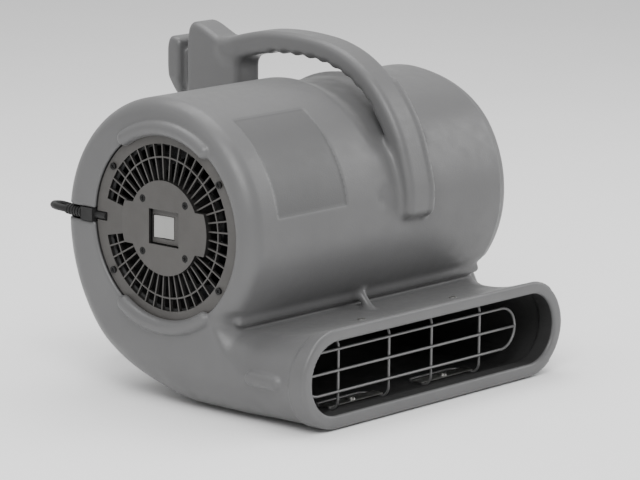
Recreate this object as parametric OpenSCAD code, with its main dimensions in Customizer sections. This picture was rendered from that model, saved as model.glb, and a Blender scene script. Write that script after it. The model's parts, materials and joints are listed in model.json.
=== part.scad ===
/* [Housing] */
// Width across the two flat intake faces
body_w = 450; // [444:2:456]
// Height of the fan axis above the floor
axis_z = 205; // [204:1:206]
// Distance from the fan axis forward to the outlet face
mouth_reach = 214; // [210:1:218]
// Radius of the scroll at the front of the barrel
scroll_front = 136; // [134:1:137]
// Radius of the scroll at the top of the barrel
scroll_top = 145; // [143:1:146]
// Radius of the scroll at the back of the barrel
scroll_back = 160; // [157:1:161]
// Wall thickness of the rotomoulded shell
wall = 4; // [3.5:0.5:4]
// Rounding where the barrel turns into its flat ends
end_round = 20; // [16:1:22]
// Half height of the duct behind the outlet flange
duct_half_h = 48; // [47:1:50]
// Half height of the outlet flange
flange_half_h = 57; // [56:1:58]
// Half height of the outlet opening
outlet_half_h = 42; // [41:1:43]
// Length of the outlet flange along the air path
flange_len = 26; // [24:1:30]
// Radius of each round intake hole
intake_r = 110; // [109:1:111]

/* [Handle] */
// Middle of the handle across the machine
handle_x = 45; // [42:1:48]
// Width of the handle bar
handle_w = 42; // [38:1:44]
// Depth of each finger scallop on the underside
scallop_depth = 1.6; // [1:0.2:2]

/* [Fan] */
// Outside radius of the fan wheel
wheel_r = 90; // [88:1:91]
// Inside radius of the blade ring
wheel_inner_r = 73; // [70:1:74]
// Half length of the fan wheel
wheel_half = 165; // [160:1:168]
// Blades in each of the two rows
blade_count = 36; // [24:1:44]
// Radius of the motor can
motor_r = 50; // [48:1:51]
// Radius of the motor shaft
shaft_r = 6.35; // [6:0.05:6.5]

/* [Grille] */
// Radial bars in each intake grille
bar_count = 44; // [36:2:48]
// Radius of the round centre panel of each grille
panel_r = 54; // [53:1:55]
// Width of one grille bar
bar_w = 1.8; // [1.6:0.2:3]

/* [Cord] */
// Diameter of the three-core lead
cord_d = 8; // [7.5:0.5:8.5]

/* [Hidden] */
$fn = 64;

foot_h = 2;
base = foot_h - axis_z;
axis_y = -12;
half_w = body_w / 2;
mouth_y = -mouth_reach;

// The duct's flat base stands this far below the scroll's lowest line
keel_step = 0.8;

// Centres and radii of the four arcs of the scroll, each tangent to the next
top_arc_y = scroll_top - scroll_front;
back_arc_r = scroll_back - top_arc_y;
back_arc_z = scroll_top - back_arc_r;
base_arc_r = back_arc_z - base - keel_step;
base_arc_y = scroll_back - base_arc_r;

duct_z = base + duct_half_h;
duct_half_len = half_w - duct_half_h - 1.5;
flange_z = base + flange_half_h;
flange_half_len = half_w + 1 - flange_half_h;
mouth_half_len = 169;
flange_y = mouth_y + flange_len;

// Intake recess, grille and ledge, as distances out from the middle
ledge_out = half_w - 9;
ledge_t = 4;
ledge_r = 93;
grille_t = 4;
grille_r = 109;
grille_slot_r = 95;
grille_screw_r = 101.5;
grille_mid_r = 80;
grille_screw_angles = [36, 144, 216, 324];
panel_out = half_w - 1;
panel_t = 4;
lobe_reach = 66;
lobe_half_h = 24;
cup_wall = 4;
channel_half = 22;
cup_in = half_w - 35;
lip_r = 113;
lip_tube = 9;
lip_out = half_w - 3;
lip_span = 70;

switch_w = 46;
switch_h = 40;
bezel_gap = 1;
bezel_out = panel_out - 5;
rocker_w = 31;
rocker_h = 25;
rocker_y = 4.5;
rocker_tilt = 6;
rocker_pivot_out = bezel_out - 6;
rocker_pin_r = 1.5;

motor_post = [33, 30];
motor_post_r = 5;
motor_screw_r = 2;
bell_t = 12;
bell_left_x = -cup_in;
can_left_x = bell_left_x + bell_t;
can_len = 90;
can_right_x = can_left_x + can_len;
bell_right_x = can_right_x + bell_t;
can_t = 3;
core_left_x = can_left_x + 18;
core_len = 54;
rotor_r = 28;
air_gap = 0.4;
bearing_r = 16;
bearing_w = 9;
shaft_play = 0.05;
shaft_end_x = 56;
disc_x = 6;
disc_t = 3;
hub_r = 16;
hub_len = 36;
ring_t = 4;
blade_t = 1.2;

wire_r = 1.6;
rail_half_h = 24.5;
rail_half_len = 184 - rail_half_h;
rail_z = base + 53;
rail_y = mouth_y + 38;
hoop_half = 43;
hoop_bend = 12;
hoop_run = 14;
hoop_x = 80;
clip_y = rail_y + 2 * wire_r + hoop_bend + 6;
clip_w = 14;
clip_t = 1.5;
// The top screws hold the upper clips this far right of the middle of each hoop
top_screw_shift = 16;
duct_floor = base + wall;
duct_ceiling = base + 2 * duct_half_h - wall;

// Route of the lead from the strain relief to its coil, on the floor behind the housing
lead_r = cord_d / 2;
notch_x = -219;
notch_in = ledge_out - 3;
gland_y = 112;
boot_y = 130;
boot_len = 30;
coil_x = 40;
coil_y = 150;
coil_lift = 1;
coil_layers = 2;
coil_columns = 5;
coil_mid_r = 48;
coil_inner = coil_mid_r - coil_columns * lead_r;
coil_outer = coil_mid_r + coil_columns * lead_r;
coil_h = coil_layers * cord_d;
route_out = [
    [-219, 148, 205], [-219, 155, 205], [-216.3, 168.8, 204.8], [-208.5, 180.5, 204],
    [-196.8, 188.3, 202.4], [-183, 191, 199.4], [-166, 191.4, 193], [-150, 191.8, 183.5],
    [-135, 192.2, 170.5], [-122, 192.6, 155], [-111, 193, 138.5], [-101, 193.5, 121], [-92, 194.2, 104],
    [-83, 195.2, 87], [-74, 196.5, 70], [-65, 198.2, 54], [-55, 200.4, 39.5], [-44, 203, 27],
    [-31, 206, 16.5], [-16, 209.2, 9], [2, 212, 5.4], [20, 213.6, 5], [40, 214, 5]
];
route_plug = [
    [40, 214, 13], [54, 214, 12.8], [68, 213.5, 11.4], [82, 212.5, 8], [96, 210.5, 5],
    [110, 207, 4], [124, 201.5, 4], [137, 194, 4], [149, 184.5, 4.5], [159, 173.5, 6],
    [166, 161, 8.5], [170, 148.5, 10.5], [171, 136, 11], [171, 126, 11]
];
plug_x = 171;
plug_y = 126;
plug_z = 11;

// Handle outline, in the plane across the fan axis, from the front foot to the back
handle_top = [
    [-146, -12], [-150, 8], [-144, 34], [-126, 86], [-98, 129], [-66, 158], [-36, 175],
    [10, 188], [46, 191], [80, 190], [112, 184], [140, 176], [160, 177]
];
handle_under = [
    [-122, 70], [-108, 96], [-91, 115], [-52, 144], [-29, 153], [3, 163.5],
    [30, 164.5], [58, 163.5], [82, 160], [102, 151], [114, 136], [120, 118], [124, 98]
];
post_front = 122;
post_back = 206;
post_foot_z = 70;
post_top_z = 187;
head_y = [218, 238];
head_z = [94, 166];
neck_half = 10;

module at_axis() {
    translate([0, axis_y, axis_z]) children();
}

// Turns a shape drawn about Z so that it stands about the fan axis, its height along +X
module along_x(x = 0) {
    translate([x, 0, 0]) rotate([0, 90, 0]) children();
}

module ring(r_out, r_in, h) {
    difference() {
        cylinder(h = h, r = r_out);
        translate([0, 0, -1]) cylinder(h = h + 2, r = r_in);
    }
}

module stadium(half_len, r) {
    square([2 * half_len, 2 * r], center = true);
    translate([half_len, 0]) circle(r);
    translate([-half_len, 0]) circle(r);
}

// Bar with a stadium section that runs forward from y_back to y_front
module duct_bar(y_back, y_front, z, half_len, r) {
    translate([0, y_back, z]) rotate([90, 0, 0]) linear_extrude(y_back - y_front) stadium(half_len, r);
}

// Half section of a drum: radius along X, width along Y, outer corners rounded
module drum_section(r, half, round) {
    translate([0, -half]) square([r - round, 2 * half]);
    translate([0, round - half]) square([r, 2 * (half - round)]);
    translate([r - round, half - round]) circle(round);
    translate([r - round, round - half]) circle(round);
}

// One quarter of the scroll; turn 0 is down to back, 1 back to top, 2 top to front, 3 front to down
module scroll_quarter(y, z, r, half, round, turn) {
    translate([0, y, z]) along_x() rotate([0, 0, 90 * turn])
        rotate_extrude(angle = 90, $fn = 96) drum_section(r, half, round);
}

module scroll(inset) {
    half = half_w - inset;
    round = end_round - inset;
    scroll_quarter(base_arc_y, back_arc_z, base_arc_r - inset, half, round, 0);
    scroll_quarter(top_arc_y, back_arc_z, back_arc_r - inset, half, round, 1);
    scroll_quarter(top_arc_y, 0, scroll_top - inset, half, round, 2);
    scroll_quarter(0, 0, scroll_front - inset, half, round, 3);
}

module scroll_core(inset) {
    // Fills the gap between the quarters, whose centres are apart
    reach = half_w - inset - 1;
    translate([-reach, base_arc_y - 8, -20]) cube([2 * reach, top_arc_y - base_arc_y + 20, 32]);
}

module duct(inset) {
    duct_bar(base_arc_y + 12, flange_y - 1, duct_z, duct_half_len, duct_half_h - inset);
}

module housing_outside() {
    scroll(0);
    scroll_core(0);
    duct(0);
    duct_bar(flange_y, mouth_y, flange_z, flange_half_len, flange_half_h);
    side_lug();
}

// Raised rounded lug low on the left side, near the outlet
module side_lug() {
    lug_r = 9;
    translate([5 - half_w, -132, base + 43]) rotate([90, 0, 0]) {
        cylinder(h = 46, r = lug_r);
        sphere(lug_r);
        translate([0, 0, 46]) sphere(lug_r);
    }
}

module housing_inside() {
    scroll(wall);
    scroll_core(wall);
    duct(wall);
    duct_bar(flange_y, mouth_y - 1, flange_z, mouth_half_len, outlet_half_h);
}

// Rounded bead that overhangs the grille; a pair on each side, above and below
module intake_lip(side, turn) {
    along_x(side * lip_out) rotate([0, 0, turn - lip_span / 2])
        rotate_extrude(angle = lip_span) translate([lip_r, 0]) circle(lip_tube, $fn = 40);
}

module intake_frame(side) {
    collar_x = side > 0 ? ledge_out - ledge_t : -half_w + 1;
    along_x(collar_x) ring(intake_r + wall, intake_r, half_w - ledge_out + ledge_t - 1);
    along_x(side > 0 ? ledge_out - ledge_t : -ledge_out) ring(intake_r + 2, ledge_r, ledge_t);
}

module intake_frame_holes(side) {
    for (a = grille_screw_angles)
        along_x(side > 0 ? ledge_out - ledge_t - 1 : -ledge_out - 1)
            rotate([0, 0, a]) translate([0, grille_screw_r, 0]) cylinder(h = ledge_t + 2, r = 1.8);
}

// Notch in the left rim where the lead leaves towards the back
module cord_notch() {
    translate([-half_w - 1, 92, -8]) cube([half_w + 1 - notch_in, 80, 16]);
}

foot_spots = [[-150, -190], [150, -190], [-150, -50], [150, -50]];
foot_r = 14;
foot_pocket = 3;

module housing() color([0.45, 0.45, 0.46]) at_axis() {
    difference() {
        union() {
            difference() {
                housing_outside();
                housing_inside();
                along_x(-half_w - 1) cylinder(h = wall + 3, r = intake_r);
                along_x(half_w - wall - 2) cylinder(h = wall + 3, r = intake_r);
            }
            for (side = [-1, 1]) {
                intake_frame(side);
                intake_lip(side, 0);
                intake_lip(side, 180);
            }
            for (p = foot_spots) translate([p[0], p[1], base]) cylinder(h = foot_pocket + wall, r = foot_r + 3);
        }
        for (side = [-1, 1]) intake_frame_holes(side);
        for (side = [-1, 1]) along_x(side > 0 ? ledge_out : -ledge_out - grille_t - 0.3)
            cylinder(h = grille_t + 0.3, r = grille_r + 0.3);
        cord_notch();
        for (p = foot_spots) translate([p[0], p[1], base - 1]) cylinder(h = foot_pocket + 1, r = foot_r);
        for (x = [-hoop_x, hoop_x]) translate([x + top_screw_shift, clip_y, duct_ceiling - 1])
            cylinder(h = 8, r = 1.8);
    }
}

// Point on a smooth curve through p, where t counts from one point to the next
function bend_at(p, i, t) =
    let (a = p[max(i - 1, 0)], b = p[i], c = p[i + 1], d = p[min(i + 2, len(p) - 1)])
    0.5 * ((2 * b) + (c - a) * t + (2 * a - 5 * b + 4 * c - d) * t * t + (3 * b - a - 3 * c + d) * t * t * t);
function curve(p, steps) = concat(
    [for (i = [0 : len(p) - 2]) for (s = [0 : steps - 1]) bend_at(p, i, s / steps)], [p[len(p) - 1]]);
function backwards(p) = [for (i = [len(p) - 1 : -1 : 0]) p[i]];

module handle_bar_outline() {
    polygon(concat(curve(handle_top, 3), [[post_front + 8, 80]], backwards(curve(handle_under, 3)), [[-128, -4]]));
}

// Extrudes an outline drawn across the fan axis to a width about x
module slab(x, w) {
    translate([x - w / 2, 0, 0]) rotate([90, 0, 90]) linear_extrude(w) children();
}

// Handle, moulded as one with the housing, with the post that the lead is wound on
module handle() color([0.45, 0.45, 0.46]) at_axis() {
    scallops = [[-78, 126], [-61, 138], [-42, 148], [-22, 156], [-2, 162.5], [19, 165], [41, 165.3], [62, 163.5]];
    difference() {
        union() {
            difference() {
                slab(handle_x, handle_w) handle_bar_outline();
                for (s = scallops) translate([handle_x - handle_w, s[0], s[1] - 10])
                    rotate([0, 90, 0]) cylinder(h = 2 * handle_w, r = 9.4 + scallop_depth);
            }
            slab(handle_x, handle_w) polygon([
                [post_front, post_foot_z], [post_back - 8, post_foot_z], [post_back, post_foot_z + 20],
                [post_back + 2, post_top_z - 8], [post_back - 4, post_top_z],
                [160, 177], [140, 176], [post_front + 4, 120]]);
            slab(handle_x, 2 * neck_half) polygon([
                [post_back - 2, head_z[0] - 4], [head_y[0] + 2, head_z[0] + 4],
                [head_y[0] + 2, head_z[1] - 12], [post_back - 2, head_z[1] - 2]]);
            slab(handle_x, handle_w) polygon([
                [head_y[0], head_z[0] + 6], [head_y[1] - 10, head_z[0]], [head_y[1], head_z[0] + 26],
                [head_y[1], head_z[1] - 4], [head_y[1] - 5, head_z[1]], [head_y[0], head_z[1] - 6]]);
        }
        handle_seat();
    }
}

// The outside of the barrel, which the handle stands on
module handle_seat() {
    scroll_quarter(base_arc_y, back_arc_z, base_arc_r, half_w, end_round, 0);
    scroll_quarter(top_arc_y, back_arc_z, back_arc_r, half_w, end_round, 1);
    scroll_quarter(top_arc_y, 0, scroll_top, half_w, end_round, 2);
    scroll_quarter(0, 0, scroll_front, half_w, end_round, 3);
}

// Window between two bars, from radius r_in to r_out, with sides a bar's width from the next window
module grille_window(r_in, r_out) {
    half = 180 / bar_count;
    a_in = half - asin(bar_w / 2 / r_in);
    a_out = half - asin(bar_w / 2 / r_out);
    translate([0, 0, -1]) linear_extrude(grille_t + 2) polygon([
        r_in * [cos(a_in), sin(a_in)], r_out * [cos(a_out), sin(a_out)],
        r_out * [cos(a_out), -sin(a_out)], r_in * [cos(a_in), -sin(a_in)]]);
}

// Grille without its centre, drawn about Z with its inner face at z = 0; windows within
// solid_half of +Y are left out
module grille_web(solid_half) {
    difference() {
        ring(grille_r, panel_r - 2, grille_t);
        for (i = [0 : bar_count - 1]) {
            turn = i * 360 / bar_count;
            if (sin(turn) < 0 || abs(cos(turn)) * grille_mid_r > solid_half) rotate([0, 0, turn]) {
                grille_window(panel_r, grille_mid_r - bar_w / 2);
                grille_window(grille_mid_r + bar_w / 2, grille_slot_r);
            }
        }
        for (a = grille_screw_angles) rotate([0, 0, a]) translate([0, grille_screw_r, -1])
            cylinder(h = grille_t + 2, r = 2.2);
    }
}

module lobed_disc(h) {
    cylinder(h = h, r = panel_r);
    intersection() {
        cylinder(h = h, r = lobe_reach);
        translate([-lobe_half_h, -lobe_reach, 0]) cube([2 * lobe_half_h, 2 * lobe_reach, h]);
    }
}

// Left grille, which also carries the motor, the switch and the wiring
module intake_grille_left() color([0.27, 0.26, 0.25]) at_axis() {
    difference() {
        union() {
            along_x(-ledge_out - grille_t) grille_web(channel_half);
            along_x(-panel_out) lobed_disc(panel_t);
            along_x(-panel_out) ring(panel_r, panel_r - cup_wall, panel_out - cup_in);
            lobe_walls();
            for (y = [-1, 1]) for (z = [-1, 1]) translate([0, y * motor_post[0], z * motor_post[1]])
                along_x(-panel_out) cylinder(h = panel_out - cup_in, r = motor_post_r);
        }
        translate([-panel_out - 1, -switch_w / 2, -switch_h / 2]) cube([panel_t + 2, switch_w, switch_h]);
        for (y = [-1, 1]) for (z = [-1, 1]) translate([0, y * motor_post[0], z * motor_post[1]]) {
            along_x(-panel_out - 1) cylinder(h = panel_out - cup_in + 2, r = motor_screw_r + 0.2);
            along_x(-panel_out - 1) cylinder(h = 3, r = 4.4);
        }
        translate([-ledge_out - grille_t, panel_r - cup_wall - 1, -4]) cube([8, cup_wall + 2, 8]);
        translate([-ledge_out - grille_t - 1, grille_slot_r - 2, -5]) cube([grille_t + 2, 20, 10]);
    }
}

module lobe_walls() {
    depth = panel_out - ledge_out;
    along_x(-panel_out) difference() {
        lobed_disc(depth);
        translate([0, 0, -1]) cylinder(h = depth + 2, r = panel_r - cup_wall);
        translate([-lobe_half_h + 3, -lobe_reach + 4, panel_t])
            cube([2 * lobe_half_h - 6, 2 * lobe_reach - 8, depth]);
    }
}

module intake_grille_right() color([0.27, 0.26, 0.25]) at_axis() {
    along_x(ledge_out) grille_web(-1);
    along_x(ledge_out) ring(panel_r, panel_r - cup_wall, panel_out - ledge_out);
    along_x(panel_out - panel_t) cylinder(h = panel_t, r = panel_r);
}

// Pan-head screw drawn about Z, head up from z = 0, shank down
module pan_screw(head_r, head_h, shank_r, shank_len) {
    slot = head_r * 1.2;
    difference() {
        cylinder(h = head_h, r = head_r);
        translate([-slot / 2, -0.5, head_h - 1]) cube([slot, 1, 2]);
        translate([-0.5, -slot / 2, head_h - 1]) cube([1, slot, 2]);
    }
    translate([0, 0, -shank_len]) cylinder(h = shank_len + 0.1, r = shank_r);
}

module grille_screws() {
    for (a = grille_screw_angles) along_x(ledge_out + grille_t) rotate([0, 0, a])
        translate([0, grille_screw_r, 0]) pan_screw(4, 2.4, 1.8, 11);
}

module grille_screws_left() color("silver") at_axis() mirror([1, 0, 0]) grille_screws();

module grille_screws_right() color("silver") at_axis() grille_screws();

module motor_mount_screws() color([0.15, 0.15, 0.15]) at_axis() mirror([1, 0, 0])
    for (y = [-1, 1]) for (z = [-1, 1]) translate([0, y * motor_post[0], z * motor_post[1]])
        along_x(panel_out - 2) pan_screw(4.2, 2, motor_screw_r, panel_out - cup_in + 3);

module switch_bezel() color([0.35, 0.35, 0.35]) at_axis() {
    w = switch_w - 2 * bezel_gap;
    h = switch_h - 2 * bezel_gap;
    difference() {
        translate([-bezel_out, -w / 2, -h / 2]) cube([3, w, h]);
        translate([-bezel_out - 1, rocker_y - rocker_w / 2 - 1, -rocker_h / 2 - 0.8])
            cube([5, rocker_w + 2, rocker_h + 1.6]);
    }
}

module switch_body() color([0.12, 0.12, 0.12]) at_axis() {
    w = switch_w - 6;
    h = switch_h - 6;
    back = bezel_out - 3;
    difference() {
        translate([-back, -w / 2, -h / 2]) cube([22, w, h]);
        translate([-back - 1, rocker_y - rocker_w / 2 - 1, -rocker_h / 2 - 0.8])
            cube([13, rocker_w + 2, rocker_h + 1.6]);
        translate([-rocker_pivot_out, rocker_y, -rocker_h / 2 - 3]) cylinder(h = rocker_h + 6, r = rocker_pin_r + 0.05);
    }
    for (z = [-9, 0, 9]) translate([22 - back, -3, z - 0.4]) cube([3, 6, 0.8]);
}

// Rocker of the power switch, at rest with its back half pressed in
module switch_rocker() color([0.75, 0.75, 0.74]) at_axis()
    translate([-rocker_pivot_out, rocker_y, 0]) rotate([0, 0, rocker_tilt]) {
        translate([0, 0, -rocker_h / 2]) linear_extrude(rocker_h) polygon([
            [-6.5, -14], [-5.4, 0], [-6.5, 14], [2, 13], [4, 0], [2, -13]]);
        translate([0, 0, -rocker_h / 2 - 2]) cylinder(h = rocker_h + 4, r = rocker_pin_r);
    }

module run_capacitor() color([0.85, 0.85, 0.82]) at_axis()
    translate([12 - panel_out + panel_t, -22, -34]) rotate([-90, 0, 0]) cylinder(h = 44, r = 9);

module capacitor_clip() color("silver") at_axis() translate([12 - panel_out + panel_t, -4, -34]) {
    rotate([-90, 0, 0]) ring(10, 9, 8);
    translate([-12, 0, 8.6]) cube([10, 8, 1.2]);
    translate([-12, 0, 8.6]) cube([1, 8, 5]);
}

module motor_can() color([0.16, 0.16, 0.17]) at_axis()
    along_x(can_left_x) ring(motor_r, motor_r - can_t, can_len);

module end_bell(pocket_z) {
    difference() {
        cylinder(h = bell_t, r = motor_r);
        translate([0, 0, -1]) cylinder(h = bell_t + 2, r = shaft_r + 2);
        translate([0, 0, pocket_z]) cylinder(h = bearing_w + 1, r = bearing_r);
    }
}

module end_bell_left() color([0.6, 0.6, 0.6]) at_axis() difference() {
    along_x(bell_left_x) end_bell(bell_t - bearing_w);
    for (y = [-1, 1]) for (z = [-1, 1]) translate([0, y * motor_post[0], z * motor_post[1]])
        along_x(bell_left_x - 1) cylinder(h = 8, r = motor_screw_r);
}

module end_bell_right() color([0.6, 0.6, 0.6]) at_axis()
    along_x(can_right_x) end_bell(bell_t - bearing_w);

module stator_core() color([0.3, 0.3, 0.32]) at_axis()
    along_x(core_left_x) ring(motor_r - can_t, rotor_r + air_gap, core_len);

module stator_windings() color([0.72, 0.4, 0.2]) at_axis()
    for (x = [core_left_x - 11, core_left_x + core_len]) along_x(x) ring(44, 31, 11);

module bearing(x) {
    along_x(x) ring(bearing_r, shaft_r + shaft_play, bearing_w);
}

module bearing_left() color("silver") at_axis() bearing(bell_left_x + bell_t - bearing_w);

module bearing_right() color("silver") at_axis() bearing(bell_right_x - bearing_w);

module motor_shaft() color([0.75, 0.75, 0.77]) at_axis()
    along_x(bell_left_x + 2) cylinder(h = shaft_end_x - bell_left_x - 2, r = shaft_r);

module rotor_core() color([0.4, 0.4, 0.42]) at_axis()
    along_x(core_left_x) ring(rotor_r, shaft_r, core_len);

module impeller_hub() color([0.62, 0.62, 0.64]) at_axis() difference() {
    along_x(disc_x + disc_t) ring(hub_r, shaft_r, hub_len);
    translate([disc_x + disc_t + hub_len - 10, 0, 0]) cylinder(h = hub_r + 1, r = 3);
}

module hub_set_screw() color([0.2, 0.2, 0.2]) at_axis()
    translate([disc_x + disc_t + hub_len - 10, 0, shaft_r]) cylinder(h = 9, r = 3);

module impeller_disc() color([0.3, 0.3, 0.31]) at_axis()
    along_x(disc_x) ring(wheel_r - 0.5, shaft_r, disc_t);

// One row of forward-curved blades, drawn about Z
module blade_row(len) {
    mid_r = (wheel_r + wheel_inner_r) / 2;
    curve_r = 14;
    for (i = [0 : blade_count - 1]) rotate([0, 0, i * 360 / blade_count])
        intersection() {
            translate([mid_r, curve_r * 0.8, 0]) ring(curve_r, curve_r - blade_t, len);
            translate([wheel_inner_r, -curve_r, 0]) cube([wheel_r - wheel_inner_r - 1, 1.8 * curve_r, len]);
        }
}

module impeller_blades_left() color([0.3, 0.3, 0.31]) at_axis()
    along_x(ring_t - wheel_half) blade_row(wheel_half - ring_t + disc_x);

module impeller_blades_right() color([0.3, 0.3, 0.31]) at_axis()
    along_x(disc_x + disc_t) blade_row(wheel_half - ring_t - disc_x - disc_t);

module impeller_ring_left() color([0.3, 0.3, 0.31]) at_axis()
    along_x(-wheel_half) ring(wheel_r, wheel_inner_r, ring_t);

module impeller_ring_right() color([0.3, 0.3, 0.31]) at_axis()
    along_x(wheel_half - ring_t) ring(wheel_r, wheel_inner_r, ring_t);

module wire(len) {
    cylinder(h = len, r = wire_r, $fn = 24);
}

// Quarter bend of wire about the origin, from +X to +Y
module wire_bend(r, angle) {
    rotate_extrude(angle = angle, $fn = 48) translate([r, 0]) circle(wire_r, $fn = 24);
}

module guard_rails() color([0.6, 0.6, 0.6]) at_axis() translate([0, rail_y, rail_z]) {
    for (z = [-rail_half_h, 0, rail_half_h]) {
        half = z == 0 ? rail_half_len + rail_half_h : rail_half_len;
        translate([-half, 0, z]) rotate([0, 90, 0]) wire(2 * half);
    }
    for (side = [-1, 1]) translate([side * rail_half_len, 0, 0]) rotate([90, 0, 0])
        rotate([0, 0, -90 * side]) wire_bend(rail_half_h, 180);
}

// Upright wire loop whose two legs bend back along the duct's floor and ceiling
module guard_hoop() {
    leg_y = rail_y + 2 * wire_r;
    low = duct_floor + wire_r;
    high = duct_ceiling - wire_r;
    for (side = [-1, 1]) translate([side * hoop_half, leg_y, 0]) {
        translate([0, 0, low + hoop_bend]) wire(high - low - 2 * hoop_bend);
        for (end = [-1, 1]) {
            z = end < 0 ? low + hoop_bend : high - hoop_bend;
            translate([0, hoop_bend, z]) rotate([0, -90, 0]) rotate([0, 0, end < 0 ? 180 : 270])
                wire_bend(hoop_bend, 90);
            translate([0, hoop_bend, end < 0 ? low : high]) rotate([-90, 0, 0]) wire(hoop_run);
        }
    }
    for (z = [low, high]) {
        for (side = [-1, 1]) translate([side * (hoop_half - hoop_bend), leg_y + hoop_bend + hoop_run, z])
            rotate([0, 0, side > 0 ? 0 : 90]) wire_bend(hoop_bend, 90);
        translate([hoop_bend - hoop_half, leg_y + 2 * hoop_bend + hoop_run, z]) rotate([0, 90, 0])
            wire(2 * (hoop_half - hoop_bend));
    }
}

module guard_hoop_left() color([0.6, 0.6, 0.6]) at_axis() translate([-hoop_x, 0, 0]) guard_hoop();

module guard_hoop_right() color([0.6, 0.6, 0.6]) at_axis() translate([hoop_x, 0, 0]) guard_hoop();

// Saddle plates that hold the hoops down, two on the floor and two under the ceiling
module guard_clips() color("silver") at_axis() for (x = [-hoop_x, hoop_x]) {
    for (z = [duct_floor + 2 * wire_r, duct_ceiling - 2 * wire_r - clip_t]) difference() {
        translate([x - hoop_half - 3, clip_y - clip_w / 2, z]) cube([2 * hoop_half + 6, clip_w, clip_t]);
        translate([x + (z > duct_z ? top_screw_shift : 0), clip_y, z - 1]) cylinder(h = 4, r = 1.8);
    }
}

module guard_clip_screws() color("silver") at_axis() for (x = [-hoop_x, hoop_x])
    translate([x, clip_y, duct_floor + 2 * wire_r + clip_t]) pan_screw(4.5, 2.4, 1.8, 4.6);

module duct_top_screws() color("silver") at_axis() for (x = [-hoop_x, hoop_x])
    translate([x + top_screw_shift, clip_y, duct_ceiling + wall]) pan_screw(4.5, 2.4, 1.8, wall + 5.5);

module rubber_feet() color([0.1, 0.1, 0.1]) at_axis() for (p = foot_spots)
    translate([p[0], p[1], base - foot_h]) cylinder(h = foot_h + foot_pocket, r = foot_r);

// Block that grips the lead in the notch of the left rim
module cord_gland() color([0.2, 0.2, 0.2]) at_axis() difference() {
    translate([notch_x - 7, gland_y, -7.5]) cube([12.8, boot_y - gland_y, 15]);
    translate([notch_x, gland_y - 1, 0]) rotate([-90, 0, 0]) cylinder(h = boot_y - gland_y + 2, r = lead_r);
}

// Ribbed rubber boot, tapering away from the gland
module strain_relief() color([0.08, 0.08, 0.08]) at_axis() translate([notch_x, boot_y, 0]) rotate([-90, 0, 0]) {
    rib_pitch = 4.6;
    difference() {
        union() {
            cylinder(h = boot_len, r1 = 6, r2 = 4.8);
            for (i = [0 : 5]) translate([0, 0, 2 + i * rib_pitch]) cylinder(h = 2.6, r = 7 - 0.25 * i);
        }
        translate([0, 0, -1]) cylinder(h = boot_len + 2, r = lead_r);
    }
    translate([0, 0, grille_slot_r - boot_y]) cylinder(h = boot_y + boot_len - grille_slot_r, r = lead_r);
}

function unit(v) = v / norm(v);
function heading(p, i) = unit(p[min(i + 1, len(p) - 1)] - p[max(i - 1, 0)]);
function side_of(t) = abs(t[2]) > 0.9 ? unit(cross([1, 0, 0], t)) : unit(cross([0, 0, 1], t));
// Ring of points round point i of route p
function ring_points(p, i, r, n) =
    let (t = heading(p, i), u = side_of(t), v = cross(t, u))
    [for (k = [0 : n - 1]) p[i] + r * (cos(360 * k / n) * u + sin(360 * k / n) * v)];

// Round tube along a route
module tube(p, r, n = 10) {
    last = len(p) - 1;
    polyhedron(
        points = [for (i = [0 : last]) for (q = ring_points(p, i, r, n)) q],
        faces = concat(
            [[for (k = [0 : n - 1]) k]],
            [for (i = [0 : last - 1]) for (k = [0 : n - 1])
                [i * n + k, (i + 1) * n + k, (i + 1) * n + (k + 1) % n, i * n + (k + 1) % n]],
            [[for (k = [n - 1 : -1 : 0]) last * n + k]]));
}

module power_cord() color([0.08, 0.08, 0.08]) tube(route_out, lead_r);

module plug_lead() color([0.08, 0.08, 0.08]) tube(route_plug, lead_r);

module cord_coil() color([0.08, 0.08, 0.08]) translate([coil_x, coil_y, coil_lift]) rotate_extrude() {
    round = lead_r;
    translate([coil_inner, round]) square([coil_outer - coil_inner, coil_h - 2 * round]);
    translate([coil_inner + round, 0]) square([coil_outer - coil_inner - 2 * round, coil_h]);
    for (x = [coil_inner + round, coil_outer - round]) for (y = [round, coil_h - round])
        translate([x, y]) circle(round, $fn = 24);
}

module cord_tie() color([0.15, 0.15, 0.15]) translate([coil_x - coil_mid_r, coil_y, 0]) difference() {
    tie_w = coil_outer - coil_inner + 2;
    translate([-tie_w / 2, -7, 0]) cube([tie_w, 14, coil_h + 2]);
    translate([1 - tie_w / 2, -8, 1]) cube([tie_w - 2, 16, coil_h]);
}

module plug_body() color([0.08, 0.08, 0.08]) translate([plug_x, plug_y, plug_z]) rotate([90, 0, 0]) {
    cylinder(h = 14, r1 = 5.5, r2 = 8);
    translate([-14, -11, 14]) cube([28, 22, 26]);
}

module plug_blades() color("gold") translate([plug_x, plug_y - 40, plug_z]) rotate([90, 0, 0])
    for (x = [-6.35, 6.35]) translate([x - 0.75, -2, 0]) cube([1.5, 6.3, 17.5]);

module plug_earth_pin() color("gold") translate([plug_x, plug_y - 40, plug_z - 7]) rotate([90, 0, 0])
    cylinder(h = 20, r = 2.4);

housing();
handle();
intake_grille_left();
intake_grille_right();
grille_screws_left();
grille_screws_right();
motor_mount_screws();
switch_bezel();
switch_body();
switch_rocker();
run_capacitor();
capacitor_clip();
motor_can();
end_bell_left();
end_bell_right();
stator_core();
stator_windings();
bearing_left();
bearing_right();
motor_shaft();
rotor_core();
impeller_hub();
hub_set_screw();
impeller_disc();
impeller_blades_left();
impeller_blades_right();
impeller_ring_left();
impeller_ring_right();
guard_rails();
guard_hoop_left();
guard_hoop_right();
guard_clips();
guard_clip_screws();
duct_top_screws();
rubber_feet();
cord_gland();
strain_relief();
power_cord();
cord_coil();
cord_tie();
plug_lead();
plug_body();
plug_blades();
plug_earth_pin();
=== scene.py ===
"""Portable centrifugal air mover: the looks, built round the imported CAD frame."""

import json
import math

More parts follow.
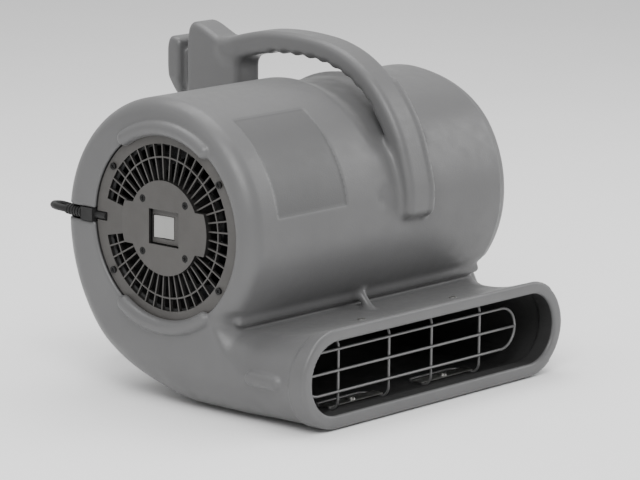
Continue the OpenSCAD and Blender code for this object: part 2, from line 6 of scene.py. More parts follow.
import bpy
import numpy as np
from mathutils import Matrix, Vector


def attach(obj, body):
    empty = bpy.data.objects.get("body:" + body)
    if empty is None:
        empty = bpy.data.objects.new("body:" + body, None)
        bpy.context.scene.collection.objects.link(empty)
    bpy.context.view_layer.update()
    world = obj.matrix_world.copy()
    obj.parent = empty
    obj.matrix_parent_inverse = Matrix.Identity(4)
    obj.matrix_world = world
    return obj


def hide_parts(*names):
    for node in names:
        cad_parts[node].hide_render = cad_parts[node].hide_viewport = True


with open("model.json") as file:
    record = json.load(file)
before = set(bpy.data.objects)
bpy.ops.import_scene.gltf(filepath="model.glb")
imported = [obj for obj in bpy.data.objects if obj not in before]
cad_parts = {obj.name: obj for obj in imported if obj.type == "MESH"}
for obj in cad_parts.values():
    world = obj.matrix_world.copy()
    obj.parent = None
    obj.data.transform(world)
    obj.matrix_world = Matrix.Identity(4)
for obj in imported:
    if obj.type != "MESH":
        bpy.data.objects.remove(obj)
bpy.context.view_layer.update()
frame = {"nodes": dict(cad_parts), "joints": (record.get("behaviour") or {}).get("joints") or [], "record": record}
NODES = frame["nodes"]

MM = 0.001
fan_joint = next(j for j in frame["joints"] if j["name"] == "fan_spin")
FAN_Y, FAN_Z = fan_joint["pos_m"][1], fan_joint["pos_m"][2]


def step01(value, low, high):
    """Smooth step from 0 at low to 1 at high."""
    t = np.clip((value - low) / (high - low), 0, 1)
    return t * t * (3 - 2 * t)


# ---------------------------------------------------------------- camera

def add_camera():
    """A long lens low and to the left of the outlet, rolled by half a degree."""
    azimuth, elevation, roll = math.radians(-48.08), math.radians(11.52), math.radians(0.51)
    distance, aim_right, aim_up = 4.272, 0.0246, -0.0400
    back = Vector((
        math.sin(azimuth) * math.cos(elevation),
        -math.cos(azimuth) * math.cos(elevation),
        math.sin(elevation),
    ))
    level = Vector((math.cos(azimuth), math.sin(azimuth), 0))
    rise = back.cross(level)
    right = level * math.cos(roll) + rise * math.sin(roll)
    up = rise * math.cos(roll) - level * math.sin(roll)
    target = Vector((0, FAN_Y, FAN_Z - 0.005)) + right * aim_right + up * aim_up
    data = bpy.data.cameras.new("camera")
    data.lens = 207.1
    data.sensor_width = 36
    data.clip_end = 50
    camera = bpy.data.objects.new("camera", data)
    place = Matrix((right, up, back)).transposed().to_4x4()
    place.translation = target + back * distance
    camera.matrix_world = place
    bpy.context.scene.collection.objects.link(camera)
    bpy.context.scene.camera = camera


add_camera()


# ---------------------------------------------------------------- materials

class Look:
    """A Principled material whose colour, roughness and bump come from nodes."""

    def __init__(self, name, colour, roughness, metallic=0.0, specular=0.5):
        self.material = bpy.data.materials.new(name)
        self.material.use_nodes = True
        self.tree = self.material.node_tree
        self.shader = self.tree.nodes["Principled BSDF"]
        self.shader.inputs["Base Color"].default_value = (*colour, 1)
        self.shader.inputs["Roughness"].default_value = roughness
        self.shader.inputs["Metallic"].default_value = metallic
        self.shader.inputs["Specular IOR Level"].default_value = specular
        self.material.diffuse_color = (*colour, 1)
        self.place = self.node("ShaderNodeTexCoord").outputs["Object"]
        self.last_bump = None

    def node(self, kind, **settings):
        made = self.tree.nodes.new(kind)
        for key, value in settings.items():
            setattr(made, key, value)
        return made

    def link(self, source, target):
        self.tree.links.new(source, target)

    def noise(self, scale, detail=3.0, stretch=(1, 1, 1), rough=0.5):
        mapping = self.node("ShaderNodeMapping")
        mapping.inputs["Scale"].default_value = stretch
        self.link(self.place, mapping.inputs["Vector"])
        noise = self.node("ShaderNodeTexNoise")
        noise.inputs["Scale"].default_value = scale
        noise.inputs["Detail"].default_value = detail
        noise.inputs["Roughness"].default_value = rough
        self.link(mapping.outputs["Vector"], noise.inputs["Vector"])
        return noise.outputs["Fac"]

    def spread(self, value, low, high, out_low, out_high):
        """Maps value from low..high to out_low..out_high."""
        made = self.node("ShaderNodeMapRange")
        limits = {"From Min": low, "From Max": high, "To Min": out_low, "To Max": out_high}
        for key, number in limits.items():
            made.inputs[key].default_value = number
        self.link(value, made.inputs["Value"])
        return made.outputs["Result"]

    def tint(self, value, colour_low, colour_high):
        """Base colour runs between two colours with value."""
        ramp = self.node("ShaderNodeValToRGB")
        ramp.color_ramp.elements[0].color = (*colour_low, 1)
        ramp.color_ramp.elements[1].color = (*colour_high, 1)
        self.link(value, ramp.inputs["Fac"])
        self.link(ramp.outputs["Color"], self.shader.inputs["Base Color"])

    def roughness(self, value):
        self.link(value, self.shader.inputs["Roughness"])

    def bump(self, height, distance, strength=1.0):
        made = self.node("ShaderNodeBump")
        made.inputs["Distance"].default_value = distance
        made.inputs["Strength"].default_value = strength
        self.link(height, made.inputs["Height"])
        if self.last_bump:
            self.link(self.last_bump, made.inputs["Normal"])
        self.last_bump = made.outputs["Normal"]
        self.link(self.last_bump, self.shader.inputs["Normal"])


def scaled(colour, factor):
    return tuple(channel * factor for channel in colour)


def moulded(name, colour, rough=(0.45, 0.6), grain=900, depth=0.00015, mottle=0.12, specular=0.45):
    """Moulded plastic: fine skin texture, slow mottling and uneven sheen."""
    look = Look(name, colour, rough[0], specular=specular)
    slow = look.noise(9, detail=2)
    look.tint(look.spread(slow, 0.3, 0.7, 0, 1), scaled(colour, 1 - mottle), scaled(colour, 1 + mottle))
    look.roughness(look.spread(look.noise(60, detail=4), 0.3, 0.7, *rough))
    look.bump(look.noise(grain, detail=2), depth)
    return look


def housing_look(name, colour, rough):
    """Rotomoulded polyethylene: waxy sheen, faint pitting and slow waves in the skin."""
    look = moulded(name, colour, rough=rough, grain=700, depth=0.00012, mottle=0.05)
    look.bump(look.noise(14, detail=1), 0.0012, 0.5)
    pits = look.node("ShaderNodeTexVoronoi")
    pits.inputs["Scale"].default_value = 260
    look.link(look.place, pits.inputs["Vector"])
    look.bump(look.spread(pits.outputs["Distance"], 0.0, 0.25, 0, 1), 0.00006, 0.6)
    look.shader.inputs["Sheen Weight"].default_value = 0.08
    look.shader.inputs["Sheen Roughness"].default_value = 0.4
    return look.material


def grille_look():
    """Warm grey plastic; the sides of its bars, facing across the fan axis, are painted near-black as the shade in
    the slots between them.
    """
    colour, painted_slot_shade = (0.060, 0.057, 0.054), (0.010, 0.0095, 0.009)
    look = moulded("grille_plastic", colour, rough=(0.45, 0.6), grain=1100, depth=0.00018)
    # Painted shade: faces whose normals lie across the fan axis (the bar sides in the slots) take a near-black
    # shade colour in place of the plastic's own.
    axes = look.node("ShaderNodeSeparateXYZ")
    look.link(look.node("ShaderNodeNewGeometry").outputs["Normal"], axes.inputs["Vector"])
    flat = look.node("ShaderNodeMath", operation="ABSOLUTE")
    look.link(axes.outputs["X"], flat.inputs[0])
    mix = look.node("ShaderNodeMix", data_type="RGBA")
    mix.inputs["A"].default_value = (*painted_slot_shade, 1)
    look.link(look.spread(flat.outputs["Value"], 0.3, 0.9, 0, 1), mix.inputs["Factor"])
    slow = look.spread(look.noise(14, detail=3), 0.3, 0.7, 0.9, 1.1)
    tone = look.node("ShaderNodeMix", data_type="RGBA", blend_type="MULTIPLY")
    tone.inputs["Factor"].default_value = 1
    tone.inputs["A"].default_value = (*colour, 1)
    look.link(slow, tone.inputs["B"])
    look.link(tone.outputs["Result"], mix.inputs["B"])
    look.link(mix.outputs["Result"], look.shader.inputs["Base Color"])
    return look.material


def metal(name, colour, rough=(0.25, 0.45), brushed=(1, 1, 1), grain=500, depth=0.00003, metallic=1.0):
    look = Look(name, colour, rough[0], metallic=metallic)
    streak = look.noise(grain, detail=3, stretch=brushed)
    look.roughness(look.spread(streak, 0.3, 0.7, *rough))
    look.tint(look.noise(35), scaled(colour, 0.85), scaled(colour, 1.1))
    look.bump(streak, depth)
    return look.material


def rubber(name):
    look = moulded(
        name, (0.012, 0.012, 0.012), rough=(0.5, 0.7), grain=1400, depth=0.00008, mottle=0.25, specular=0.35)
    return look.material


def woven(name, colour):
    """Hook-and-loop tape: a tight weave of raised threads."""
    look = Look(name, colour, 0.9, specular=0.2)
    for direction in ("X", "Y"):
        wave = look.node("ShaderNodeTexWave", bands_direction=direction)
        wave.inputs["Scale"].default_value = 400
        wave.inputs["Distortion"].default_value = 1.5
        look.link(look.place, wave.inputs["Vector"])
        look.bump(wave.outputs["Fac"], 0.0003)
    look.tint(look.noise(300), scaled(colour, 0.7), scaled(colour, 1.3))
    return look.material


def laminated(name, colour):
    """A stack of thin steel sheets, seen as fine bands across the fan axis."""
    look = Look(name, colour, 0.45, metallic=0.9)
    wave = look.node("ShaderNodeTexWave", bands_direction="X")
    wave.inputs["Scale"].default_value = 320
    look.link(look.place, wave.inputs["Vector"])
    look.bump(wave.outputs["Fac"], 0.0004)
    look.tint(wave.outputs["Fac"], scaled(colour, 0.6), scaled(colour, 1.1))
    return look.material


def wound(name, colour):
    """Enamelled copper wire, wound round the fan axis."""
    look = Look(name, colour, 0.3, metallic=0.8)
    wave = look.node("ShaderNodeTexWave", wave_type="RINGS", rings_direction="X")
    wave.inputs["Scale"].default_value = 260
    wave.inputs["Distortion"].default_value = 2
    look.link(look.place, wave.inputs["Vector"])
    look.bump(wave.outputs["Fac"], 0.0006)
    look.tint(wave.outputs["Fac"], scaled(colour, 0.55), scaled(colour, 1.2))
    return look.material


HOUSING = housing_look("housing_pe", (0.098, 0.098, 0.099), (0.34, 0.48))
PATCH = housing_look("housing_label_patch", (0.072, 0.072, 0.073), (0.42, 0.52))
# Painted shade: the inside of the shell is the same plastic, given a near-black copy so that the hollow reads as
# unlit.
INSIDE_SHADE = moulded(
    "housing_inside", (0.022, 0.022, 0.022), rough=(0.6, 0.75), grain=500, depth=0.0002).material
LOOKS = {
    "grille": grille_look(),
    "zinc": metal("zinc_plate", (0.55, 0.55, 0.53), rough=(0.28, 0.42)),
    "black_screw": metal("black_oxide", (0.03, 0.03, 0.03), rough=(0.35, 0.5)),
    "switch_dark": moulded("switch_nylon", (0.02, 0.02, 0.02)).material,
    "rocker": moulded("rocker_plastic", (0.30, 0.30, 0.29), rough=(0.3, 0.42), depth=0.00008).material,
    "motor_paint": metal("motor_enamel", (0.03, 0.03, 0.032), rough=(0.35, 0.5), metallic=0.3),
    "cast_alu": metal("cast_aluminium", (0.45, 0.45, 0.45), rough=(0.45, 0.65), grain=300, depth=0.0002),
    "lamination": laminated("laminated_steel", (0.2, 0.2, 0.21)),
    "copper": wound("wound_copper", (0.5, 0.2, 0.08)),
    "steel": metal("ground_steel", (0.55, 0.55, 0.57), rough=(0.18, 0.3), brushed=(0.1, 1, 1)),
    # Painted shade: the fan wheel sits in shade behind the grille, so it is given a near-black colour instead of
    # the light grey of galvanised sheet.
    "wheel": metal(
        "galvanised_sheet_painted_shade", (0.035, 0.035, 0.037), rough=(0.4, 0.6), grain=60, metallic=0.6),
    "wire": metal("coated_wire", (0.20, 0.20, 0.20), rough=(0.32, 0.45), metallic=0.35),
    "rubber": rubber("moulded_rubber"),
    "cord": rubber("lead_jacket"),
    "tie": woven("tie_tape", (0.015, 0.015, 0.016)),
    "capacitor": moulded("capacitor_case", (0.5, 0.5, 0.47)).material,
    "brass": metal("stamped_brass", (0.62, 0.45, 0.2), rough=(0.22, 0.36)),
    "housing": HOUSING,
}


# ---------------------------------------------------------------- the lead

LEAD_D = 0.008
COIL_CENTRE = (0.040, 0.150)
COIL_MID_R = 0.048
COIL_LOW = 0.005
COIL_COLUMNS = 5
INNER_EASE = 0.2  # in turns: how softly the lead turns back at the innermost column
# The lead's middle line: from the strain relief down to the coil, and from the coil to the plug
ROUTE_OUT = [
    (-0.219, 0.148, 0.205), (-0.219, 0.155, 0.205), (-0.2163, 0.1688, 0.2048),
    (-0.2085, 0.1805, 0.204), (-0.1968, 0.1883, 0.2024), (-0.183, 0.191, 0.1994),
    (-0.166, 0.1914, 0.193), (-0.150, 0.1918, 0.1835), (-0.135, 0.1922, 0.1705),
    (-0.122, 0.1926, 0.155), (-0.111, 0.193, 0.1385), (-0.101, 0.1935, 0.121),
    (-0.092, 0.1942, 0.104), (-0.083, 0.1952, 0.087), (-0.074, 0.1965, 0.070),
    (-0.065, 0.1982, 0.054), (-0.055, 0.2004, 0.0395), (-0.044, 0.203, 0.027),
    (-0.031, 0.206, 0.0165), (-0.016, 0.2092, 0.009), (0.002, 0.212, 0.0054),
    (0.020, 0.2136, 0.005), (0.040, 0.214, 0.005),
]
ROUTE_PLUG = [
    (0.040, 0.214, 0.013), (0.054, 0.214, 0.0128), (0.068, 0.2135, 0.0114),
    (0.082, 0.2125, 0.008), (0.096, 0.2105, 0.005), (0.110, 0.207, 0.004),
    (0.124, 0.2015, 0.004), (0.137, 0.194, 0.004), (0.149, 0.1845, 0.0045),
    (0.159, 0.1735, 0.006), (0.166, 0.161, 0.0085), (0.170, 0.1485, 0.0105),
    (0.171, 0.136, 0.011), (0.171, 0.126, 0.011),
]


def through(points, steps):
    """Points of a smooth curve through the given ones."""
    p = np.array([points[0], *points, points[-1]], float)
    made = []
    for a, b, c, d in zip(p, p[1:], p[2:], p[3:]):
        for t in np.arange(steps) / steps:
            made.append(0.5 * (2 * b + (c - a) * t + (2 * a - 5 * b + 4 * c - d) * t**2
                               + (3 * b - a - 3 * c + d) * t**3))
    return [tuple(q) for q in made] + [tuple(points[-1])]


def coil_turns(per_turn=60):
    """Clockwise turns from the north: the lower layer winds inwards and the upper one back out."""
    outer = COIL_MID_R + (COIL_COLUMNS - 1) / 2 * LEAD_D
    turns = COIL_COLUMNS - 1
    made = []
    for i in range(2 * turns * per_turn):
        turn = i / per_turn
        column = turns - math.hypot(turn - turns, INNER_EASE)
        layer = step01(turn, turns - 0.5, turns + 0.5)
        radius = outer - column * LEAD_D
        angle = math.pi / 2 - 2 * math.pi * turn
        made.append((
            COIL_CENTRE[0] + radius * math.cos(angle),
            COIL_CENTRE[1] + radius * math.sin(angle),
            COIL_LOW + layer * LEAD_D,
        ))
    return made


def add_cord():
    points = through(ROUTE_OUT, 4)[:-1] + coil_turns() + through(ROUTE_PLUG, 4)
    data = bpy.data.curves.new("power_cord_lead", "CURVE")
    data.dimensions = "3D"
    data.bevel_depth = LEAD_D / 2
    data.bevel_resolution = 5
    data.use_fill_caps = True
    spline = data.splines.new("POLY")
    spline.points.add(len(points) - 1)
    for point, place in zip(spline.points, points):
        point.co = (*place, 1)
    spline.use_smooth = True
    data.materials.append(LOOKS["cord"])
    lead = bpy.data.objects.new("power_cord_lead", data)
    bpy.context.scene.collection.objects.link(lead)
    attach(lead, "frame")
    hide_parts("power_cord", "cord_coil", "plug_lead")


add_cord()


# ---------------------------------------------------------------- housing as a distance field
# Everything here is in millimetres from the fan axis: x across, y back, z up.

BASE = -203.0
HALF_W = 225.0
FRONT_R, TOP_R, BACK_R = 136.0, 145.0, 160.0
TOP_Y = TOP_R - FRONT_R
BACK_ARC_R = BACK_R - TOP_Y
BACK_Z = TOP_R - BACK_ARC_R
KEEL_R = BACK_Z - BASE
KEEL_Y = BACK_R - KEEL_R
MOUTH_Y = -214.0
MOUTH_LEN, MOUTH_R = 169.0, 42.0
RIM_LEN = 26.0
DUCT_HALF, MOUTH_HALF = 47.75, 57.0
FLARE_FROM = 115
WALL = 5.5
HANDLE_X, HANDLE_HALF = 45.0, 21.0
INTAKE_R, LEDGE_R, GRILLE_R = 110.0, 93.0, 109.3
LEDGE_X, GRILLE_X = 216.0, 220.3
NOTCH_X, NOTCH_HALF = 213.0, 8
NOTCH_FRONT, NOTCH_BACK = 92, 172

# Depths of the shapes in the barrel's skin
HOLLOW_DEPTH, PATCH_DEPTH, EDGE_DEPTH, DIMPLE_DEPTH = 8, 1.0, 1.4, 3

# Beads over the intakes: the radius of their ring, of their section, and half the angle they span
LIP_RING_R, LIP_R, LIP_SPAN = 113, 8.8, math.radians(33)

# Raised shapes on the skin, each from start to end with its radius
BEAD = (0, -98, -95), (203, -98, -95), 4.6
GUSSET = (-9, -98, -84), (-9, -119, -107), 4.5
LUG = (3 - HALF_W, -135, BASE + 54), (3 - HALF_W, -172, BASE + 54), 8.6
SKIN_FILLET = 9


def join(a, b, k):
    """Smooth union with a fillet of about k."""
    h = np.clip(0.5 + 0.5 * (b - a) / k, 0, 1)
    return b + (a - b) * h - k * h * (1 - h)


def cut(a, b, k):
    """a without b, with the edge rounded by about k."""
    return -join(-a, b, k)


def thick(section, along, rounding):
    """Solid from a section distance and a distance along the third axis, edges rounded."""
    a, b = section + rounding, along + rounding
    return np.minimum(np.maximum(a, b), 0) + np.hypot(np.maximum(a, 0), np.maximum(b, 0)) - rounding


def scroll_section(y, z):
    """Distance to the scroll outline: four arcs, each tangent to the next."""
    top = np.where(z >= 0, np.hypot(y - TOP_Y, z) - TOP_R, np.hypot(y, z) - FRONT_R)
    keel = np.where((y >= KEEL_Y) & (z <= BACK_Z), np.hypot(y - KEEL_Y, z - BACK_Z) - KEEL_R, 1e3)
    back = np.where((y >= TOP_Y) & (z >= BACK_Z), np.hypot(y - TOP_Y, z - BACK_Z) - BACK_ARC_R, 1e3)
    return np.minimum(np.minimum(keel, back), np.where((y < TOP_Y) | (z < BACK_Z), top, 1e3))


def duct_half(y):
    """Half height of the duct, which grows towards the outlet."""
    along = np.clip((-y - FLARE_FROM) / (-MOUTH_Y - FLARE_FROM), 0, 1)
    return DUCT_HALF + (MOUTH_HALF - DUCT_HALF) * along**2


def body_section(y, z, inset):
    """Scroll and duct in one outline across the fan axis."""
    top = BASE + 2 * duct_half(y) + 70 * step01(y, -100, -40)
    slab = np.abs(z - (BASE + top) / 2) - (top - BASE) / 2
    keel = np.where(y > KEEL_Y, np.hypot(y - KEEL_Y, z - BACK_Z) - KEEL_R, -1e3)
    slab = np.maximum(np.maximum(slab, keel), y - 60)
    return join(scroll_section(y, z), slab, 0.1 + 12 * (1 - step01(y, -75, -50))) + inset


def end_rounding(y, z):
    """Rounding of the body's ends: small on the barrel, a full half circle on the duct."""
    front = (1 - step01(y, -125, -70)) * step01(-z, 78, 92)
    low = step01(-z, 108, 158) * (1 - step01(y, 10, 120))
    return 20 + (duct_half(y) - 20) * np.maximum(front, low)


def body(x, y, z, inset, skin=False):
    """Barrel, scroll and duct. The skin's own shapes follow through to the inside."""
    section = body_section(y, z, inset) + barrel_relief(x, y, z)
    reach = HALF_W - 0.5 + 2.0 * step01(-y, 115, 214) - inset
    if skin:
        behind_rim = 1.3 * step01(y, -193, -190.5) * step01(-z, 95, 105) * (1 - step01(y, -150, -90))
        section = section + behind_rim
        reach = reach - behind_rim
    return thick(section, np.abs(x) - reach, end_rounding(y, z) - inset * 0.6)


def between(value, rise, fall):
    """1 between two soft edges, each given by its start and end, and 0 beyond them."""
    return step01(value, *rise) * (1 - step01(value, *fall))


def label_patch(x, angle):
    """1 on the flat patch for a label, and 0 off it."""
    return between(x, (-182, -179), (-68, -65)) * between(angle, (9, 10.5), (62, 63.5))


def front_angle(y, z):
    """Degrees round the fan axis, from straight ahead and up."""
    return np.degrees(np.arctan2(z, -y))


def barrel_relief(x, y, z):
    """Shallow shapes in the barrel's skin, as the depth that they are cut: the hollow beside and
    under the handle, the lower far end, the flat label patch and the step near the far edge."""
    angle = front_angle(y, z)
    hollow = between(x, (-12, 20), (74, 96)) * between(angle, (27, 44), (120, 150))
    dimple = np.exp(-((x + 2)**2 + (z - 22)**2) / 110) * (y < 0)
    crease = step01(x, 203, 206) * (np.abs(angle) < 170)
    low_end = step01(x, 72, 104) * between(angle, (35, 85), (125, 175))
    return (HOLLOW_DEPTH * np.maximum(hollow, low_end) + PATCH_DEPTH * label_patch(x, angle)
            + EDGE_DEPTH * crease + DIMPLE_DEPTH * dimple)


def polyline_distance(y, z, line, radii):
    """Distance to a bar of varying half thickness along a line in the y-z plane."""
    best = np.full(y.shape, 1e3)
    for (y0, z0), (y1, z1), r0, r1 in zip(line, line[1:], radii, radii[1:]):
        dy, dz = y1 - y0, z1 - z0
        t = np.clip(((y - y0) * dy + (z - z0) * dz) / (dy * dy + dz * dz), 0, 1)
        best = np.minimum(best, np.hypot(y - y0 - t * dy, z - z0 - t * dz) - (r0 + (r1 - r0) * t))
    return best


# Middle line of the handle, and half its thickness, from the foot to the post
HANDLE_LINE = [
    (-138, 6), (-138, 22), (-134, 42), (-121, 82), (-103, 113), (-79, 140), (-49, 160), (-16, 171.5),
    (20, 176), (56, 176.5), (88, 173.5), (116, 167), (140, 160),
]
HANDLE_THICK = [11, 12, 12.5, 12.5, 12.5, 12.5, 12.8, 13, 13, 13.2, 13.5, 14, 14]
HANDLE_CURVE = [q[:2] for q in through([(*p, 0) for p in HANDLE_LINE], 4)]
HANDLE_RADII = np.interp(
    np.linspace(0, 1, len(HANDLE_CURVE)), np.linspace(0, 1, len(HANDLE_THICK)), HANDLE_THICK)
RIM_POINTS = 20  # how far up the handle its raised rim runs
SCALLOPS = 9
SCALLOP_R, SCALLOP_DEPTH = 10.5, 2.2


def scallop_points():
    """Evenly spaced points along the handle's underside."""
    line = np.array(HANDLE_CURVE)
    run = np.concatenate([[0], np.cumsum(np.linalg.norm(np.diff(line, axis=0), axis=1))])
    for s in np.linspace(0.35, 0.80, SCALLOPS) * run[-1]:
        at = np.array([np.interp(s, run, line[:, k]) for k in (0, 1)])
        ahead = np.array([np.interp(s + 2, run, line[:, k]) for k in (0, 1)]) - at
        normal = np.array([ahead[1], -ahead[0]]) / np.linalg.norm(ahead)
        yield at + normal * (np.interp(s, run, HANDLE_RADII) + SCALLOP_R - SCALLOP_DEPTH)


SCALLOP_POINTS = list(scallop_points())
POST = [(122, 50), (206, 50), (207.5, 176), (203, 187), (192, 190), (150, 172), (122, 158)]
HEAD = [(217.5, 100), (229, 93), (239, 118), (239, 160), (234, 168), (217.5, 164)]


def convex_section(y, z, corners, k):
    """Distance to a convex outline, given anticlockwise, with its corners rounded by about k."""
    best = np.full(y.shape, -1e3)
    for (y0, z0), (y1, z1) in zip(corners, corners[1:] + corners[:1]):
        run = math.hypot(y1 - y0, z1 - z0)
        side = ((y - y0) * (z1 - z0) - (z - z0) * (y1 - y0)) / run
        best = -join(-best, -side, k)
    return best


def box_section(y, z, y0, y1, z0, z1, r):
    """Rounded box in the y-z plane."""
    a = np.abs(y - (y0 + y1) / 2) - (y1 - y0) / 2 + r
    b = np.abs(z - (z0 + z1) / 2) - (z1 - z0) / 2 + r
    return np.hypot(np.maximum(a, 0), np.maximum(b, 0)) + np.minimum(np.maximum(a, b), 0) - r


def handle_field(x, y, z):
    """The handle bar, its post and the head that the lead is wound behind."""
    across = np.abs(x - HANDLE_X)
    bar = polyline_distance(y, z, HANDLE_CURVE, HANDLE_RADII)
    for sy, sz in SCALLOP_POINTS:
        bar = cut(bar, np.hypot(y - sy, z - sz) - SCALLOP_R, 3)
    bar = thick(bar, across - HANDLE_HALF, 9)
    rim = polyline_distance(y, z, HANDLE_CURVE[:RIM_POINTS], HANDLE_RADII[:RIM_POINTS] + 1.6)
    bar = join(bar, thick(rim, np.abs(x - HANDLE_X - HANDLE_HALF + 3.5) - 3.5, 1.5), 2)
    post = thick(convex_section(y, z, POST, 9), across - HANDLE_HALF, 8)
    neck = thick(box_section(y, z, 190, 226, 104, 152, 6), across - 10.5, 4)
    taper = np.clip((118 - z) * 0.35, 0, 9)
    head = thick(convex_section(y, z, HEAD, 6), across - HANDLE_HALF + taper, 6)
    return join(join(join(bar, post, 12), neck, 4), head, 4)


def lip_field(x, y, z):
    """Rounded beads over the top and the bottom of both intakes."""
    angle = np.clip(np.arctan2(y, np.abs(z)), -LIP_SPAN, LIP_SPAN)
    ring = np.hypot(y - LIP_RING_R * np.sin(angle), np.abs(z) - LIP_RING_R * np.cos(angle))
    return np.hypot(ring, np.abs(x) - (HALF_W - 2)) - LIP_R


def capsule(x, y, z, start, end, radius):
    """Distance to a round bar with round ends."""
    a, b = np.array(start, float), np.array(end, float)
    d = b - a
    t = np.clip(((x - a[0]) * d[0] + (y - a[1]) * d[1] + (z - a[2]) * d[2]) / (d @ d), 0, 1)
    off_x, off_y, off_z = x - a[0] - t * d[0], y - a[1] - t * d[1], z - a[2] - t * d[2]
    return np.sqrt(off_x**2 + off_y**2 + off_z**2) - radius


def y_plane(y, front):
    """Everything ahead of a plane across the air path."""
    return y - front


def outside(x, y, z):
    """The outer skin, without the handle and the beads over the intakes."""
    solid = body(x, y, z, 0, skin=True)
    solid = cut(solid, y_plane(y, MOUTH_Y), 4)
    solid = join(solid, capsule(np.abs(x), y, z, *BEAD), SKIN_FILLET)
    solid = join(solid, capsule(x, y, z, *GUSSET), SKIN_FILLET)
    return join(solid, capsule(x, y, z, *LUG), 3)


def inside(x, y, z):
    """The hollow: scroll and duct, with a narrower oval at the outlet."""
    hollow = cut(body(x, y, z, WALL), y_plane(y, MOUTH_Y + RIM_LEN), 4)
    middle = BASE + MOUTH_HALF
    flare = 0.06 * np.clip(y - MOUTH_Y - 4, 0, 30)
    oval = np.hypot(np.maximum(np.abs(x) - MOUTH_LEN, 0), z - middle) - MOUTH_R - flare
    throat = np.maximum(oval, np.maximum(MOUTH_Y - 20 - y, y - MOUTH_Y - RIM_LEN - 2))
    return join(hollow, throat, 4)


def housing_field(points):
    """Signed distance to the moulded shell, negative in the plastic."""
    x, y, z = points[:, 0], points[:, 1], points[:, 2]
    solid = outside(x, y, z)
    near = (np.abs(x - HANDLE_X) < 50) & (z > -60) & ((z > 90) | (np.abs(y) > 70))
    solid[near] = join(solid[near], handle_field(x[near], y[near], z[near]), 9)
    solid = cut(solid, inside(x, y, z), 2)
    radial = np.hypot(y, z)
    end = np.abs(x)
    collar_x = (HALF_W + LEDGE_X - 4) / 2
    collar = np.maximum(np.abs(radial - INTAKE_R - 2) - 2, np.abs(end - collar_x) - 6)
    ledge = np.maximum(np.abs(radial - (INTAKE_R + LEDGE_R) / 2) - 9.5, np.abs(end - LEDGE_X + 2) - 2)
    solid = np.minimum(solid, np.minimum(collar, ledge))
    solid = cut(solid, np.maximum(radial - INTAKE_R, LEDGE_X - end), 3)
    solid = join(solid, np.maximum(lip_field(x, y, z), LEDGE_X - 2 - end), 1.5)
    seat_x, seat_half = (LEDGE_X + GRILLE_X) / 2, (GRILLE_X - LEDGE_X) / 2
    grille_seat = np.maximum(radial - GRILLE_R, np.abs(end - seat_x) - seat_half)
    solid = np.maximum(solid, -grille_seat)
    notch_length = np.maximum(NOTCH_FRONT - y, y - NOTCH_BACK)
    notch = np.maximum(np.maximum(np.abs(z) - NOTCH_HALF, x + NOTCH_X), notch_length)
    return cut(solid, notch, 2)


def sample(field, points, chunk=400000):
    """Field values at points, worked out in chunks to spare memory."""
    return np.concatenate([field(points[i:i + chunk]) for i in range(0, len(points), chunk)])


def grid_values(field, low, high, step):
    """Field values on an even grid between two corners."""
    axes = [np.arange(a, b + step, step) for a, b in zip(low, high)]
    values = np.empty([len(a) for a in axes])
    y, z = np.meshgrid(axes[1], axes[2], indexing="ij")
    for i, x in enumerate(axes[0]):
        values[i] = field(np.stack([np.full(y.size, x), y.ravel(), z.ravel()], 1)).reshape(y.shape)
    return axes, values


def surface_net(axes, values):
    """Vertices and quads of the zero surface: one vertex in each cell that it crosses."""
    inner = values < 0
    shape = np.array(values.shape) - 1
    count = np.zeros(shape, int)
    corners = [(i, j, k) for i in (0, 1) for j in (0, 1) for k in (0, 1)]
    for i, j, k in corners:
        count += inner[i:shape[0] + i, j:shape[1] + j, k:shape[2] + k]
    cells = np.argwhere((count > 0) & (count < 8))
    number = np.full(shape, -1)
    number[tuple(cells.T)] = np.arange(len(cells))
    total, hits = np.zeros((len(cells), 3)), np.zeros(len(cells))
    for axis in range(3):
        unit = np.eye(3, dtype=int)[axis]
        for corner in corners:
            if corner[axis]:
                continue
            a = cells + corner
            fa, fb = values[tuple(a.T)], values[tuple((a + unit).T)]
            crossing = (fa < 0) != (fb < 0)
            t = fa[crossing] / (fa[crossing] - fb[crossing])
            total[crossing] += np.array(corner) + t[:, None] * unit
            hits[crossing] += 1
    places = cells + total / hits[:, None]
    vertices = np.stack([axes[k][0] + places[:, k] * (axes[k][1] - axes[k][0]) for k in range(3)], 1)
    quads = []
    for axis in range(3):
        u, v = (axis + 1) % 3, (axis + 2) % 3
        unit, eu, ev = np.eye(3, dtype=int)[[axis, u, v]]
        ahead = np.take(inner, range(1, inner.shape[axis]), axis)
        here = np.take(inner, range(inner.shape[axis] - 1), axis)
        edges = np.argwhere(here != ahead)
        past_low = (edges[:, u] > 0) & (edges[:, v] > 0)
        edges = edges[past_low & (edges[:, u] < shape[u]) & (edges[:, v] < shape[v])]
        ring = [number[tuple((edges - d).T)] for d in (eu + ev, ev, 0 * eu, eu)]
        quad = np.stack(ring, 1)
        flip = ~inner[tuple(edges.T)]
        quad[flip] = quad[flip][:, ::-1]
        quads.append(quad)
    return vertices, np.concatenate(quads)


def settle(field, vertices, step, rounds=3):
    """Moves vertices onto the true surface along the field's gradient."""
    probe = 0.4
    least_slope_squared = 0.25
    longest_move = 0.4 * step
    damping = 0.8
    for _ in range(rounds):
        distance = sample(field, vertices)
        change = [
            sample(field, vertices + probe * axis) - sample(field, vertices - probe * axis)
            for axis in np.eye(3)
        ]
        slope = np.stack(change, 1) / (2 * probe)
        steep = np.maximum((slope**2).sum(1), least_slope_squared)
        move = -slope * (distance / steep)[:, None]
        length = np.linalg.norm(move, axis=1)
        move *= np.minimum(1, longest_move / np.maximum(length, 1e-9))[:, None]
        vertices = vertices + damping * move
    return vertices


GRID_STEP = 2.5
GRID_LOW, GRID_HIGH = (-238, -224, BASE - 6), (238, 248, 200)


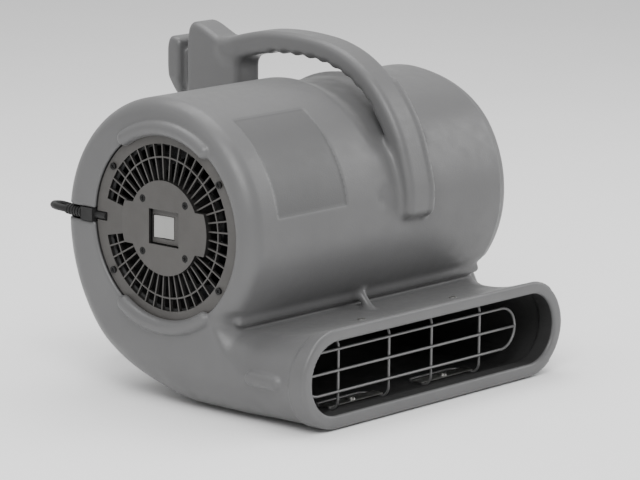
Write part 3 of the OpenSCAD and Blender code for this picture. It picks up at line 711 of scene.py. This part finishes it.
def housing_mesh():
    """The moulded shell, with a near-black copy of its plastic painted inside as shade, and its own material on
    the label patch.
    """
    axes, values = grid_values(housing_field, GRID_LOW, GRID_HIGH, GRID_STEP)
    vertices, quads = surface_net(axes, values)
    vertices = settle(housing_field, vertices, GRID_STEP)
    mesh = bpy.data.meshes.new("housing_shell")
    placed = vertices * MM + np.array([0, FAN_Y, FAN_Z])
    mesh.vertices.add(len(placed))
    mesh.vertices.foreach_set("co", placed.ravel())
    mesh.loops.add(quads.size)
    mesh.loops.foreach_set("vertex_index", quads.ravel())
    mesh.polygons.add(len(quads))
    mesh.polygons.foreach_set("loop_start", np.arange(0, quads.size, 4))
    for material in (HOUSING, INSIDE_SHADE, PATCH):
        mesh.materials.append(material)
    centre = vertices[quads].mean(1)
    depth = outside(*centre.T)
    # Painted shade: faces deep inside the hollow get the near-black copy of the plastic.
    painted_shade_faces = (depth < -WALL * 0.6) & (inside(*centre.T) < 2.5) & (centre[:, 1] > MOUTH_Y + 2)
    on_patch = label_patch(centre[:, 0], front_angle(centre[:, 1], centre[:, 2])) > 0.5
    label = on_patch & (depth > -1)
    mesh.polygons.foreach_set("material_index", np.where(painted_shade_faces, 1, np.where(label, 2, 0)))
    mesh.update(calc_edges=True)
    mesh.validate()
    mesh.shade_smooth()
    return mesh


def add_housing():
    shell = bpy.data.objects.new("housing_shell", housing_mesh())
    bpy.context.scene.collection.objects.link(shell)
    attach(shell, "frame")
    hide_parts("housing", "handle")


add_housing()


# ---------------------------------------------------------------- CAD nodes' finishes

def dress_nodes():
    """Gives each CAD node that still shows the material of its slot."""
    slots = {row["node"]: row["material_slot"] for row in frame["record"]["subparts"]}
    for name, node in NODES.items():
        if node.hide_render:
            continue
        node.data.materials.clear()
        node.data.materials.append(LOOKS[slots[name]])


dress_nodes()


# ---------------------------------------------------------------- floor and lights

def add_floor():
    size = 8.0
    corners = [(-size, -size, 0), (size, -size, 0), (size, size, 0), (-size, size, 0)]
    mesh = bpy.data.meshes.new("floor")
    mesh.from_pydata(corners, [], [(0, 1, 2, 3)])
    look = Look("floor_paper", (0.9, 0.9, 0.9), 0.9, specular=0.1)
    look.tint(look.noise(3), (0.88, 0.88, 0.88), (0.92, 0.92, 0.92))
    mesh.materials.append(look.material)
    floor = bpy.data.objects.new("floor", mesh)
    bpy.context.scene.collection.objects.link(floor)


def add_light(name, place, aim, size, power, colour=(1, 1, 1)):
    data = bpy.data.lights.new(name, "AREA")
    data.shape = "RECTANGLE"
    data.size, data.size_y = size
    data.energy = power
    data.color = colour
    light = bpy.data.objects.new(name, data)
    light.location = place
    light.rotation_euler = (Vector(aim) - Vector(place)).to_track_quat("-Z", "Y").to_euler()
    bpy.context.scene.collection.objects.link(light)


def add_studio():
    add_floor()
    middle = (0, 0, 0.2)
    add_light("key_softbox", (-1.6, -1.4, 2.0), middle, (1.4, 1.4), 60)
    add_light("top_softbox", (0.2, 0.5, 2.6), middle, (2.4, 1.6), 60)
    add_light("side_softbox", (2.2, -1.2, 1.2), middle, (1.0, 1.6), 22)
    world = bpy.data.worlds.new("studio")
    world.use_nodes = True
    world.node_tree.nodes["Background"].inputs["Color"].default_value = (1, 1, 1, 1)
    world.node_tree.nodes["Background"].inputs["Strength"].default_value = 0.75
    bpy.context.scene.world = world


add_studio()

bpy.context.view_layer.update()
